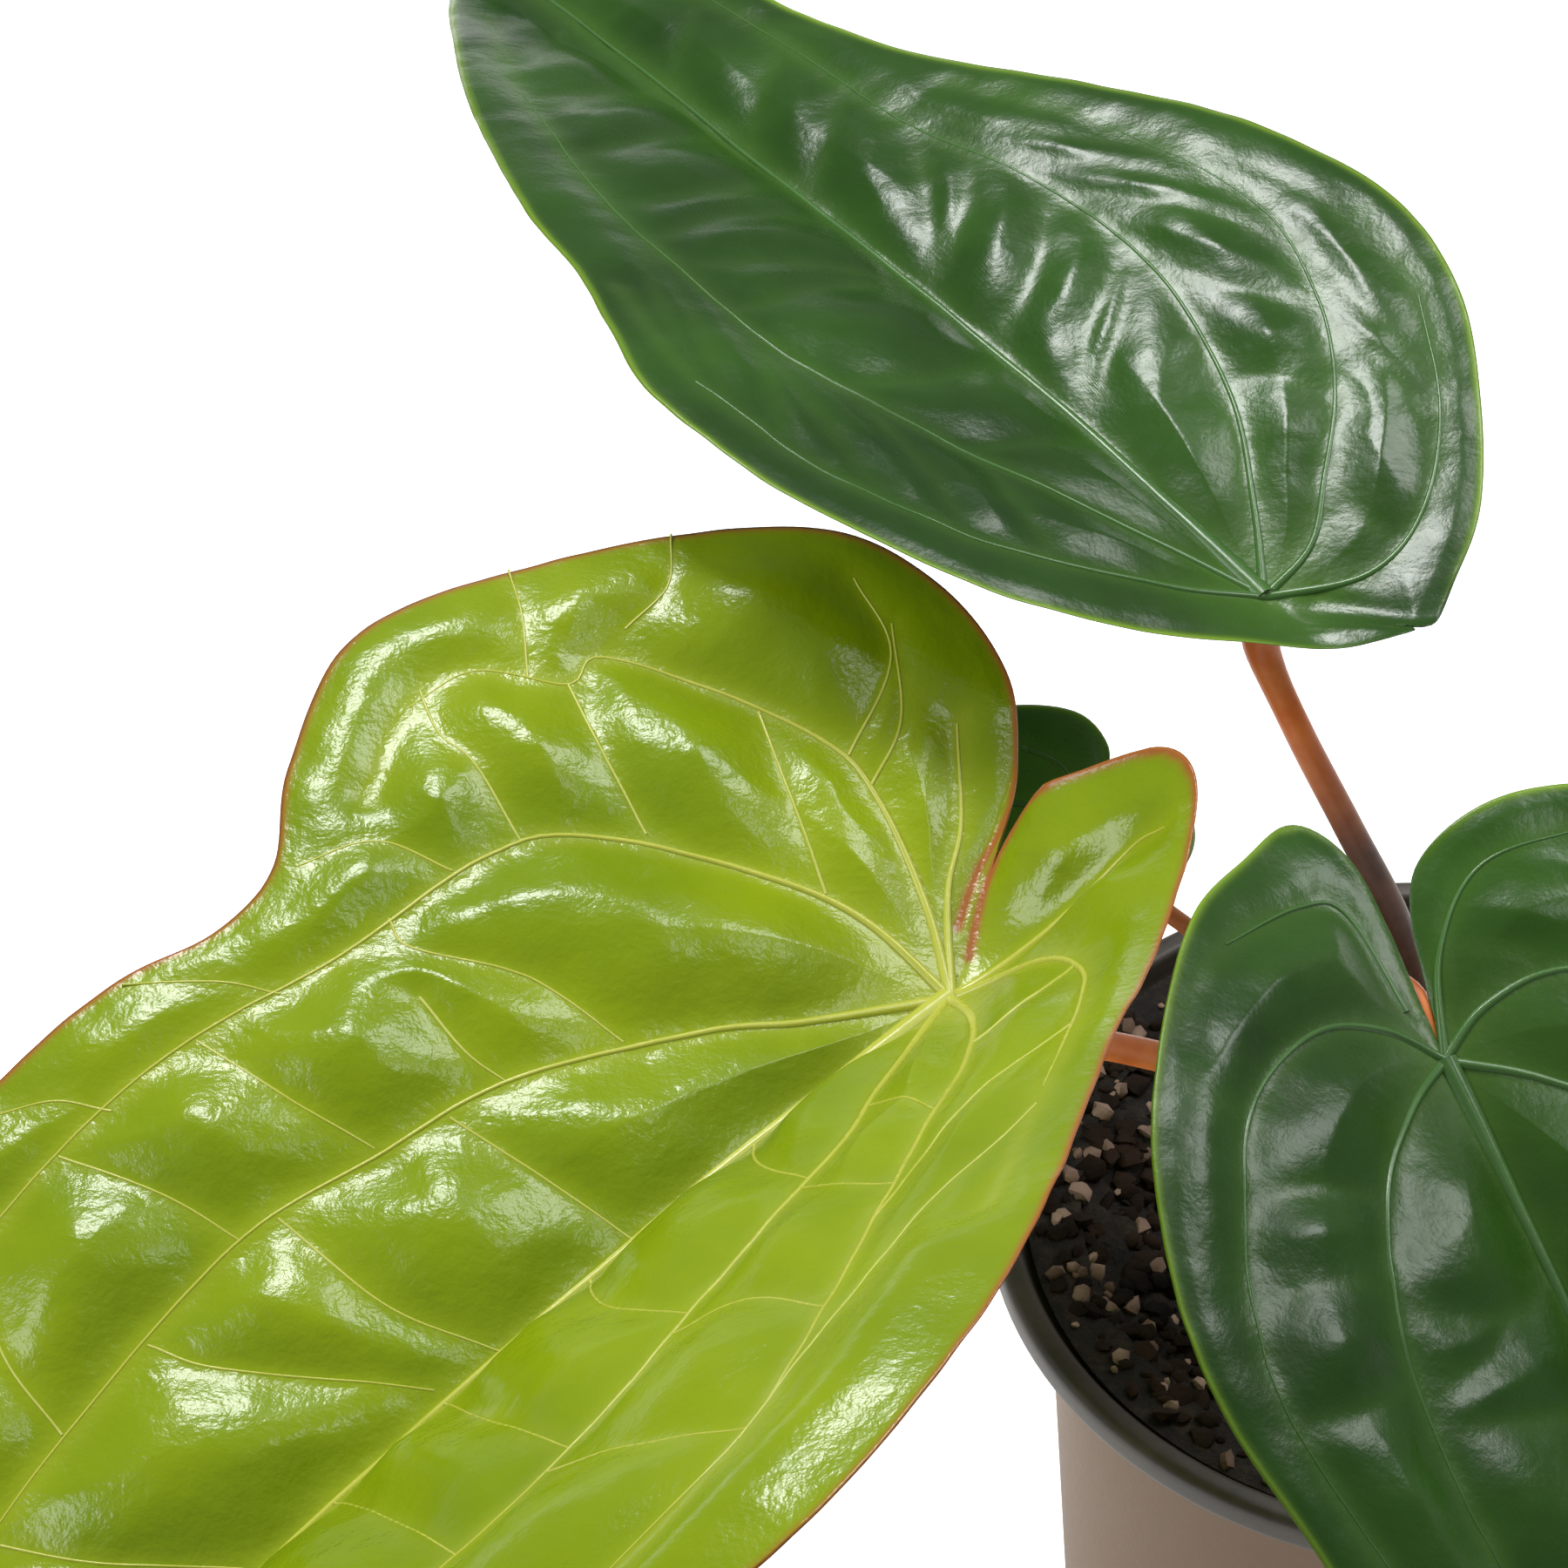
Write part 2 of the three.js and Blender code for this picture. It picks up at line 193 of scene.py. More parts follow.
def finish_with(piece, shader):
    piece.data.materials.clear()
    piece.data.materials.append(shader.material)


# %% [markdown]
# The floor is a plain, pale, matt surface with the faintest unevenness.

# %% Floor finish
floor_finish = Shader("pale_floor")
floor_shades = (0.90, 0.90, 0.90), (0.93, 0.93, 0.92)
floor_finish.set("Base Color", floor_finish.mix(floor_finish.noise(3.0), *floor_shades))
floor_finish.set("Roughness", 0.9)
floor_finish.set("Emission Color", (1.0, 1.0, 1.0))
floor_finish.set("Emission Strength", 0.60)
finish_with(floor, floor_finish)

# %% [markdown]
# The blade's shape repeats the part's design: a flat outline from the tip round to the sinus,
# folded up along the midrib, curled across, drooping along and lifted at the back lobes. Joints
# are given from the middle of the nursery pot's rim, so the leaves rise with the pot.

# %% Blade shapes
RIM_TOP = rim_top / MM
LEAVES = {
    "young_leaf": dict(
        joint=(-67, -36, 75), heading=224, rise=0, roll=4, droop=12,
        fold=(40, 20), curl=-12, lift=(16, 6), slit=0.5,
        left=[(194, -4), (176, 28), (152, 60), (122, 84), (93, 94), (71, 91), (54, 84), (38, 73),
              (15, 53), (2, 43), (-15, 29), (-26, 20), (-33, 11), (-34, 2), (-29, -6), (-23, -11),
              (-15, -9), (-6, -3)],
        right=[(194, -4), (176, -30), (150, -50), (118, -64), (88, -67), (72, -67), (60, -64), (49, -66),
               (38, -76), (20, -86), (1, -83), (-20, -72), (-34, -57), (-38, -41), (-36, -27), (-29, -18),
               (-23, -13.5), (-15, -11), (-8, -7)],
    ),
    "upper_leaf": dict(
        joint=(-27, 20, 89), heading=126, rise=6, roll=0, droop=12,
        fold=(22, 16), curl=-14, lift=(14, 6), slit=0.6,
        left=[(196, -8), (178, 5), (158, 17), (136, 29), (105, 42), (87, 46), (72, 51), (58, 55),
              (38, 53), (20, 45), (7, 35), (-3, 20), (-9, 5), (-15, -3), (-18, -9), (-12, -8), (-5, -4)],
        right=[(196, -8), (176, -17), (150, -22), (121, -25), (102, -31), (84, -40), (62, -50), (40, -54),
               (22, -50), (6, -40), (-7, -29), (-14, -19), (-18, -11), (-12, -8.8), (-5, -4.8)],
    ),
    "front_leaf": dict(
        joint=(-9, -48, 77), heading=-62, rise=-25, roll=-8, droop=14,
        fold=(18, 20), curl=-12, lift=(0, 0), slit=0,
        left=[(146, 4), (126, 22), (100, 39), (70, 53), (40, 60), (15, 60), (-5, 54), (-18, 44),
              (-25, 31), (-27, 20), (-24, 10), (-17, 5), (-7, 2.5)],
        right=[(146, 4), (126, -16), (100, -33), (75, -46), (50, -55), (27, -60), (7, -55), (-8, -45),
               (-24, -28), (-31, -13), (-34, -3), (-28, 2), (-17, 2), (-7, 0.5)],
    ),
    "rear_leaf": dict(
        joint=(-50, 11, 59), heading=215, rise=0, roll=0, droop=14,
        fold=(16, 16), curl=-12, lift=(2, 2), slit=0,
        left=[(66, 0), (52, 13), (34, 22), (14, 24), (-3, 19), (-11, 10), (-8, 4), (-3, 1)],
        right=[(66, 0), (52, -13), (34, -22), (14, -24), (-2, -19), (-10, -14), (-11, -8), (-8, -4),
         (-3, -1)],
    ),
}
LOBE_REACH = 30
SLIT_BLEND = 4
MIDRIB_ROUNDING = 1.5
LOBE_ROUNDING = 0.6
SPLINE_STEPS = 24


def above_rim(point):
    return point[0], point[1], point[2] + RIM_TOP


def spline(points, count):
    """Evenly parted points on a smooth curve through the given ones."""
    points = np.array(points, float)
    ends = np.vstack([2 * points[0] - points[1], points, 2 * points[-1] - points[-2]])
    fine = []
    for index in range(len(points) - 1):
        p0, p1, p2, p3 = ends[index:index + 4]
        t = np.linspace(0, 1, SPLINE_STEPS, endpoint=False)[:, None]
        fine.append(0.5 * (2 * p1 + (p2 - p0) * t + (2 * p0 - 5 * p1 + 4 * p2 - p3) * t ** 2
                           + (3 * p1 - p0 - 3 * p2 + p3) * t ** 3))
    fine = np.vstack(fine + [points[-1:]])
    length = np.concatenate([[0], np.cumsum(np.linalg.norm(np.diff(fine, axis=0), axis=1))])
    even = np.linspace(0, length[-1], count)
    return np.stack([np.interp(even, length, fine[:, k]) for k in range(points.shape[1])], 1)


def smooth_step(value, low, high):
    share = np.clip((value - low) / (high - low), 0, 1)
    return share * share * (3 - 2 * share)


def arc_end(length, angle, rate):
    last = angle + rate * length
    return (np.sin(last) - np.sin(angle)) / rate, (np.cos(angle) - np.cos(last)) / rate


def blade_axes(leaf):
    heading, rise, roll = (math.radians(leaf[key]) for key in ("heading", "rise", "roll"))
    level_run = math.cos(rise)
    along = np.array([math.cos(heading) * level_run, math.sin(heading) * level_run, math.sin(rise)])
    level = np.array([-math.sin(heading), math.cos(heading), 0])
    across = math.cos(roll) * level + math.sin(roll) * np.cross(along, level)
    return along, across, np.cross(along, across)


def blade_point(leaf, along, across):
    """Places in mm of points of the flat blade, given as arrays."""
    axis_along, axis_across, axis_out = blade_axes(leaf)
    left = across > 0
    droop = -math.radians(leaf["droop"]) / 100
    forward_run, fall = arc_end(along, 0.0, droop)
    fold = np.radians(np.where(left, leaf["fold"][0], leaf["fold"][1]))
    reach, height = arc_end(np.abs(across), fold, math.radians(leaf["curl"]) / 100)
    rounding = MIDRIB_ROUNDING + LOBE_ROUNDING * np.maximum(-along, 0)
    height = height * np.abs(across) / np.hypot(across, rounding)
    left_share = smooth_step(across - leaf["slit"] * along, -SLIT_BLEND, SLIT_BLEND)
    full_lift = leaf["lift"][1] + (leaf["lift"][0] - leaf["lift"][1]) * left_share
    lift = full_lift * (np.maximum(-along, 0) / LOBE_REACH) ** 2
    tilt = droop * along
    x = forward_run - height * np.sin(tilt)
    y = np.where(left, reach, -reach)
    z = fall + height * np.cos(tilt) + lift
    shift = x[..., None] * axis_along + y[..., None] * axis_across + z[..., None] * axis_out
    return np.array(above_rim(leaf["joint"])) + shift


# %% [markdown]
# Veins run out from the joint and arch towards the tip, and weaker ones link them like rungs.
# The blade sinks along every vein and swells between them, which gives this plant its quilted
# skin. Here are the veins of each blade, in the flat blade's own millimetres.

# %% Veins
VEINS = {
    "young_leaf": dict(
        main=[
            [(0, 0), (16, -8), (27, -15), (49, -25), (66, -28), (85, -31), (113, -28), (145, -22),
             (176, -10)],
            [(0, 0), (1, -15), (7, -28), (19, -45), (30, -50), (51, -51), (76, -55), (102, -53),
             (135, -45), (160, -30)],
            [(0, 0), (-7, -12), (-13, -28), (-13, -37), (-8, -51), (-1, -64), (5, -63), (12, -72),
             (22, -73), (34, -66)],
            [(0, 0), (-10, -11), (-18, -17), (-27, -27)],
            [(0, 0), (20, 14), (35, 24), (60, 34), (80, 41), (103, 43), (138, 38), (168, 22)],
            [(0, 0), (8, 16), (18, 28), (34, 40), (54, 55), (78, 70), (104, 73), (134, 60)],
            [(0, 0), (-6, 12), (-2, 26), (8, 38), (24, 52), (44, 68)],
            [(0, 0), (-14, 5), (-24, 9), (-26, 14)],
        ],
        rungs=[
            [(44, -51), (45, -46), (39, -36), (37, -31), (35, -20)], [(49, -40), (50, -31), (49, -25)],
            [(71, -54), (69, -40), (66, -29)], [(92, -54), (87, -40), (85, -31)],
            [(5, -63), (9, -53), (13, -40)], [(-10, -45), (-5, -35), (2, -20)],
            [(19, -74), (22, -67), (22, -61), (25, -49)], [(-14, -33), (-27, -39), (-31, -50)],
            [(57, -26), (55, -14), (52, 0)], [(80, -30), (79, -13), (73, 0)], [(101, -29), (97, -20),
             (82, -2)],
            [(8, -67), (2, -75), (-2, -82)], [(34, -51), (38, -60), (47, -64)], [(60, -52), (64, -58),
             (72, -66)],
            [(84, -54), (88, -60), (96, -65)], [(115, -28), (113, -40), (106, -52)],
            [(130, -26), (131, -36), (123, -48)], [(147, -21), (148, -31), (141, -42)],
            [(104, -53), (109, -59), (116, -62)], [(122, -49), (129, -54), (135, -56)],
            [(130, -26), (123, -14), (112, -2)], [(148, -21), (143, -12), (133, -2)],
            [(-6, -65), (-14, -66), (-20, -72)], [(-13, -28), (-22, -32), (-30, -42)],
        ],
        ladders=[(None, 4, 6, 0.10), (4, 5, 6, 0.10), (5, 6, 3, 0.10)],
        pillow=4.0, spread=6.0, dip=0.75, ridge=(0.58, 0.36, 0.19),
    ),
    "upper_leaf": dict(
        main=[
            [(0, 0), (12, -8), (28, -17), (50, -23), (72, -23), (99, -18), (121, -18), (143, -18),
             (176, -12)],
            [(0, 0), (2, -9), (9, -17), (19, -27), (32, -35), (50, -40), (75, -36), (100, -27)],
            [(0, 0), (-6, -12), (-3, -23), (8, -35), (24, -45), (40, -49)],
            [(0, 0), (14, 9), (35, 22), (56, 31), (73, 33), (104, 30), (136, 20), (170, 4)],
            [(0, 0), (5, 14), (18, 32), (36, 44), (58, 48), (80, 44)],
        ],
        rungs=[
            [(71, -2), (80, -9), (95, -18)], [(37, -1), (46, -8), (56, -22)], [(72, 0), (79, 14), (82, 32)],
            [(133, 0), (134, 10), (134, 20)],
        ],
        ladders=[(None, 0, 7, 0.14), (None, 3, 8, 0.06), (3, 4, 6, 0.06), (0, 1, 6, 0.08), (1, 2, 4, 0.08)],
        pillow=2.4, spread=5.5, dip=0.75, ridge=(0.55, 0.30, 0.0),
    ),
    "front_leaf": dict(
        main=[
            [(0, 0), (5, -10), (14, -21), (29, -29), (45, -31), (57, -30), (85, -24), (115, -12)],
            [(0, 0), (-5, -7), (-7, -17), (-4, -28), (2, -37), (12, -44), (22, -49), (36, -51),
             (60, -44), (84, -33)],
            [(-7, -2), (-21, -3), (-23, -10), (-20, -25), (-12, -40)],
            [(0, 0), (7, 10), (18, 20), (38, 27), (64, 28), (92, 20), (120, 8)],
            [(0, 0), (-4, 8), (-4, 19), (5, 34), (22, 46), (46, 49), (74, 42)],
            [(0, 0), (-12, 6), (-20, 16), (-19, 30), (-8, 43)],
        ],
        rungs=[
            [(28, 0), (30, -4), (32, -13), (35, -18), (38, -30)], [(21, -48), (22, -35), (25, -28)],
            [(9, -41), (11, -32), (14, -22)], [(36, -51), (36, -42), (35, -31)],
        ],
        ladders=[(None, 0, 5, 0.10), (None, 3, 6, 0.10), (3, 4, 6, 0.08), (4, 5, 4, 0.08)],
        pillow=2.4, spread=6.0, dip=0.65, ridge=(0.55, 0.30, 0.0),
    ),
    "rear_leaf": dict(
        main=[
            [(0, 0), (6, -6), (20, -10), (40, -9), (58, -3)], [(0, 0), (-3, -8), (6, -17), (22, -19),
             (40, -15)],
            [(0, 0), (6, 6), (20, 10), (40, 9), (58, 3)], [(0, 0), (-3, 8), (6, 17), (22, 19), (40, 15)],
        ],
        rungs=[],
        ladders=[(None, 0, 4, 0.1), (None, 2, 4, 0.1), (0, 1, 3, 0.1), (2, 3, 3, 0.1)],
        pillow=0.9, spread=4.0, dip=0.30, ridge=(0.40, 0.25, 0.0),
    ),
}


def midrib_of(leaf):
    return [(0, 0), (leaf["left"][0][0] * 0.5, 0), (leaf["left"][0][0] * 0.985, leaf["left"][0][1])]


def ladder_rungs(mains, midrib, ladders):
    """Weak veins between two main ones, at even steps with a little scatter."""
    rungs = []
    for first, second, count, slant in ladders:
        a = spline(midrib if first is None else mains[first], 101)
        b = spline(mains[second], 101)
        for step in range(count):
            start = 0.16 + 0.72 * (step + 0.5 * rng.random()) / count
            end = min(start + slant, 0.97)
            low, high = a[int(100 * start)], b[int(100 * end)]
            bow = np.array([-(high - low)[1], (high - low)[0]]) * rng.uniform(-0.12, 0.12)
            rungs.append([low, (low + high) / 2 + bow, high])
    return rungs


def nearest(points, lines):
    """Distance in mm from each flat point to the closest of the lines."""
    best = np.full(len(points), 1e3)
    for line in lines:
        path = spline(line, max(12, 4 * len(line)))
        for start, end in zip(path[:-1], path[1:]):
            run = end - start
            share = np.clip(((points - start) @ run) / (run @ run + 1e-9), 0, 1)
            gap = np.linalg.norm(points - start - share[:, None] * run, axis=1)
            best = np.minimum(best, gap)
    return best


# %% [markdown]
# One blade is a grid bent into a pillowcase: its rows run from the joint out over the upper skin
# to the margin and back underneath to the joint, and its columns fan round from one side of the
# sinus to the other. Every point is then set by the blade's formula. The two open sides of the
# case, along the sinus, are walled up with triangles between the upper skin and the lower one,
# and the points that meet at the joint are joined, so that the mesh is closed.

# %% Blade maker
BLADE_THICKNESS = 0.8


def waves(along, across, size, seed):
    wave = random.Random(seed)
    total = np.zeros_like(along)
    for _ in range(6):
        turn = wave.uniform(0, math.tau)
        pitch = size * wave.uniform(0.7, 1.5)
        phase = wave.uniform(0, math.tau)
        run = along * math.cos(turn) + across * math.sin(turn)
        total = total + np.sin(run * math.tau / pitch + phase)
    return total / 6


def blade_normal(leaf, along, across):
    step = 0.25
    toward_tip = blade_point(leaf, along + step, across) - blade_point(leaf, along - step, across)
    toward_left = blade_point(leaf, along, across + step) - blade_point(leaf, along, across - step)
    normal = np.cross(toward_tip, toward_left)
    return normal / np.linalg.norm(normal, axis=1)[:, None]


RUNGS = {}
for name, leaf in LEAVES.items():
    veins = VEINS[name]
    RUNGS[name] = veins["rungs"] + ladder_rungs(veins["main"], midrib_of(leaf), veins["ladders"])


def vein_gaps(name, at):
    """Distances in mm from flat points to the midrib, the main veins and the rungs."""
    midrib = nearest(at, [midrib_of(LEAVES[name])])
    return midrib, nearest(at, VEINS[name]["main"]), nearest(at, RUNGS[name])


def ripples(name, along, across):
    size = 0.35 * waves(along, across, 26, len(name)) + 0.16 * waves(along, across, 9, 5 + len(name))
    return size * smooth_step(np.hypot(along, across), 4, 30)


def swells(name, at, margin, gaps):
    """Height in mm of the pillows between the veins; it is nothing on a vein and at the margin."""
    veins = VEINS[name]
    strong = np.maximum(np.minimum(gaps[0], gaps[1]) - 0.5, 0) / veins["spread"]
    small = np.maximum(gaps[2] - 0.3, 0) / veins["spread"]
    rise = (1 - np.exp(-strong ** 1.5)) * (1 - veins["dip"] * np.exp(-small ** 1.3))
    rise = rise * smooth_step(margin, 0, 12) * smooth_step(np.linalg.norm(at, axis=1), 2, 22)
    return veins["pillow"] * rise


def close_blade(mesh, column, row, rings):
    """Joins the points that meet at the joint, and walls up the two sides of the sinus."""
    columns, rows = column.max(), row.max()
    point_at = {(int(c), int(r)): index for index, (c, r) in enumerate(zip(column, row))}
    work = bmesh.new()
    work.from_mesh(mesh)
    work.verts.ensure_lookup_table()
    for side in (0, columns):
        upper = [work.verts[point_at[side, r]] for r in range(rings + 1)]
        under = [work.verts[point_at[side, r]] for r in range(rows, rings, -1)] + [upper[-1]]
        high, low = 0, 0
        while high < len(upper) - 2 or low < len(under) - 2:
            upper_next = (high + 1) / (len(upper) - 1)
            under_next = (low + 1) / (len(under) - 1)
            if low >= len(under) - 2 or (high < len(upper) - 2 and upper_next <= under_next):
                work.faces.new((upper[high], upper[high + 1], under[low]))
                high += 1
            else:
                work.faces.new((upper[high], under[low + 1], under[low]))
                low += 1
        work.faces.new((upper[high], upper[-1], under[low]))
    joins = {}
    for end in (0, rows):
        hub = work.verts[point_at[0, end]]
        joins.update({work.verts[point_at[c, end]]: hub for c in range(1, columns + 1)})
    bmesh.ops.weld_verts(work, targetmap=joins)
    bmesh.ops.recalc_face_normals(work, faces=work.faces)
    print("open edges:", sum(1 for edge in work.edges if not edge.is_manifold))
    work.to_mesh(mesh)
    work.free()


def make_blade(name, columns, rings, under_rings):
    leaf = LEAVES[name]
    half = columns // 2
    left = spline(leaf["left"], half + 1)[::-1]
    right = spline(leaf["right"], columns - half + 1)[1:]
    edge = np.vstack([left, right])
    columns = len(edge) - 1
    rows = rings + under_rings
    bpy.ops.object.select_all(action="DESELECT")
    bpy.ops.mesh.primitive_grid_add(x_subdivisions=columns, y_subdivisions=rows, size=1)
    piece = bpy.context.object
    count = len(piece.data.vertices)
    flat = np.empty(count * 3)
    piece.data.vertices.foreach_get("co", flat)
    flat = flat.reshape(-1, 3)
    column = np.rint((flat[:, 0] + 0.5) * columns).astype(int)
    row = np.rint((flat[:, 1] + 0.5) * rows).astype(int)
    upper = row <= rings
    share = np.where(upper, row / rings, (rows - row) / under_rings)
    at = edge[column] * share[:, None]
    along, across = at[:, 0], at[:, 1]
    margin = nearest(at, [leaf["left"], leaf["right"]])
    gaps = vein_gaps(name, at)
    swell = swells(name, at, margin, gaps)
    thin = BLADE_THICKNESS * (0.25 + 0.75 * smooth_step(margin, 0, 3))
    deep = 1.3 * smooth_step(margin, 2, 12) + 0.5 * swell
    rippled = ripples(name, along, across)
    height = rippled + np.where(upper, swell + thin / 2, swell - thin / 2 - deep)
    height = np.where(row == rings, rippled, height)
    places = blade_point(leaf, along, across) + blade_normal(leaf, along, across) * height[:, None]
    piece.data.vertices.foreach_set("co", (places * MM).ravel())
    vein = np.exp(-(gaps[0] / 2.2) ** 2)
    vein = np.maximum(vein, np.exp(-(gaps[1] / 1.8) ** 2) * 0.8)
    vein = np.maximum(vein, np.exp(-(gaps[2] / 1.6) ** 2) * 0.4)
    slit_share = np.minimum(column, columns - column) / columns
    open_margin = 1 if name == "young_leaf" else smooth_step(slit_share, 0.03, 0.08)
    layers = {
        "vein": vein,
        "margin": np.exp(-(margin / 0.7) ** 2) * open_margin,
        "under": (~upper).astype(float),
        "hub": np.exp(-np.linalg.norm(at, axis=1) / 9),
    }
    for key, values in layers.items():
        layer = piece.data.attributes.new(key, "FLOAT", "POINT")
        layer.data.foreach_set("value", values.astype(np.float32))
    close_blade(piece.data, column, row, rings)
    bpy.ops.object.shade_smooth()
    piece.name = name + "_blade"
    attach(piece, "root")
    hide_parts(name)
    print(piece.name, len(piece.data.polygons), "faces")
    return piece


DENSITY = {"young_leaf": (560, 130, 40), "upper_leaf": (460, 120, 36), "front_leaf": (460, 120, 36),
           "rear_leaf": (180, 48, 16)}
blades = {}
for name, (columns, rings, under_rings) in DENSITY.items():
    blades[name] = make_blade(name, columns, rings, under_rings)

# %% [markdown]
# The veins themselves stand a little proud in the valleys between the swells. Each is a thin
# ridge that tapers to nothing towards the margin, drawn as a curve that follows the blade and
# made a mesh. The old blades show only their stronger veins.

# %% Vein ridges


def rod(name, paths, replaces=(), resolution=6):
    """Closed tubes in one piece; each path is its points in mm and a radius in mm for each."""
    bpy.ops.object.select_all(action="DESELECT")
    bpy.ops.curve.primitive_nurbs_path_add()
    piece = bpy.context.object
    data = piece.data
    data.splines.clear()
    for points, widths in paths:
        path = data.splines.new("POLY")
        path.points.add(len(points) - 1)
        for point, (x, y, z), width in zip(path.points, points, widths):
            point.co = (x * MM, y * MM, z * MM, 1)
            point.radius = width
    data.bevel_depth = MM
    data.bevel_resolution = resolution
    data.use_fill_caps = True
    bpy.ops.object.convert(target="MESH")
    piece = bpy.context.object
    piece.name = name
    bpy.ops.object.mode_set(mode="EDIT")
    bpy.ops.mesh.select_all(action="SELECT")
    bpy.ops.mesh.remove_doubles(threshold=0.000005)
    bpy.ops.mesh.normals_make_consistent(inside=False)
    bpy.ops.object.mode_set(mode="OBJECT")
    bpy.ops.object.shade_smooth_by_angle(angle=math.radians(50))
    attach(piece, "root")
    if replaces:
        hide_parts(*replaces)
    return piece


def ridge(name, line, width, end_width):
    leaf = LEAVES[name]
    path = spline(line, max(16, 10 * len(line)))
    along, across = path[:, 0], path[:, 1]
    share = np.linspace(0, 1, len(path))
    normal = blade_normal(leaf, along, across)
    stout = np.exp(-np.hypot(along, across) / 24)
    widths = (width + (end_width - width) * share) * (1 + 1.6 * stout)
    margin = nearest(path, [leaf["left"], leaf["right"]])
    rise = swells(name, path, margin, vein_gaps(name, path))
    height = BLADE_THICKNESS / 2 + ripples(name, along, across) + rise - widths * 0.35
    places = blade_point(leaf, along, across) + normal * height[:, None]
    return places, widths


ridges = {}
for name in LEAVES:
    thick, main, weak = VEINS[name]["ridge"]
    paths = [ridge(name, midrib_of(LEAVES[name]), thick * 1.3, 0.18)]
    for line in VEINS[name]["main"]:
        paths.append(ridge(name, line[:-1] if len(line) > 4 else line, main, 0.12))
    if weak:
        for line in RUNGS[name]:
            paths.append(ridge(name, line, weak, 0.14))
    slot = "young_blade" if name == "young_leaf" else "old_blade"
    ridges[name] = rod(name + "_veins", paths, (), 2)
    print(ridges[name].name, len(paths), "veins")

# %% [markdown]
# A living blade is coloured in patches of deeper and brighter green, pale along the veins, a thin
# rim of another colour at the margin. Its skin is waxy, so it is glossy but finely wrinkled.

# %% Blade finishes


def blade_finish(name, deep, bright, vein, margin, under, rough, blotch, blotch_amount, wrinkling):
    shader = Shader(name)
    patches = shader.noise(26.0, 3.0)
    fine = shader.noise(420.0, 2.0)
    colour = shader.mix(shader.ramp(patches, 0.35, 0.68), deep, bright)
    speck = shader.ramp(shader.noise(52.0, 3.0, 0.5), 0.71, 0.76) * blotch_amount
    colour = shader.mix(speck, colour, blotch)
    colour = shader.mix(shader.attribute("vein") * 0.28, colour, vein)
    colour = shader.mix(shader.attribute("hub") * 0.6, colour, vein)
    colour = shader.mix(shader.attribute("under") * 0.8, colour, under)
    colour = shader.mix((shader.attribute("margin") * 1.1).clamp(), colour, margin)
    shader.set("Base Color", colour)
    shader.set("Roughness", rough + fine * 0.10 + shader.attribute("under") * 0.3)
    shader.set("Specular IOR Level", 0.34)
    wrinkle = shader.noise(210.0, 4.0, 0.65)
    ripple = shader.noise(70.0, 2.0, 0.5)
    shader.bump(ripple + wrinkle * 0.9 + fine * 0.04, 0.0006, wrinkling)
    return shader


YOUNG = blade_finish("young_blade_skin", (0.150, 0.228, 0.001), (0.215, 0.298, 0.002), (0.38, 0.41, 0.03),
                     (0.30, 0.10, 0.02), (0.24, 0.33, 0.03), 0.18, (0.45, 0.24, 0.03), 0.65, 0.55)
OLD = blade_finish("old_blade_skin", (0.008, 0.036, 0.002), (0.023, 0.080, 0.005), (0.075, 0.17, 0.02),
                   (0.16, 0.28, 0.02), (0.05, 0.12, 0.03), 0.22, (0.03, 0.09, 0.014), 0.15, 0.28)
# The rear blade wears a lighter copy of the old blades' greens: painted light, standing in for the sheen it
# catches while it lies in the young blade's shade.
PAINTED_LIGHT_REAR_SKIN = blade_finish("rear_blade_painted_light_skin", (0.028, 0.088, 0.014), (0.060, 0.150, 0.026), (0.11, 0.22, 0.03),
                   (0.16, 0.28, 0.02), (0.06, 0.14, 0.03), 0.24, (0.05, 0.14, 0.02), 0.15, 0.28)
SKINS = {"young_leaf": YOUNG, "rear_leaf": PAINTED_LIGHT_REAR_SKIN}
for name, blade in blades.items():
    finish_with(blade, SKINS.get(name, OLD))
    "young_blade" if name == "young_leaf" else "old_blade"


def vein_finish(name, dull, clear):
    shader = Shader(name)
    shader.set("Base Color", shader.mix(shader.noise(90.0), dull, clear))
    shader.set("Roughness", 0.22 + shader.noise(300.0) * 0.1)
    shader.bump(shader.noise(260.0), 0.0002, 0.3)
    return shader


YOUNG_VEINS = vein_finish("young_veins", (0.33, 0.37, 0.03), (0.47, 0.48, 0.07))
OLD_VEINS = vein_finish("old_veins", (0.030, 0.095, 0.018), (0.060, 0.150, 0.028))
for name, veins in ridges.items():
    finish_with(veins, YOUNG_VEINS if name == "young_leaf" else OLD_VEINS)

# %% [markdown]
# Both pots are turned shapes. A profile is drawn point by point, from the axis at the bottom
# round the wall and back to the axis, then spun about the pot's own axis, as on a wheel.

# %% Turned shapes
TURN_STEPS = 144


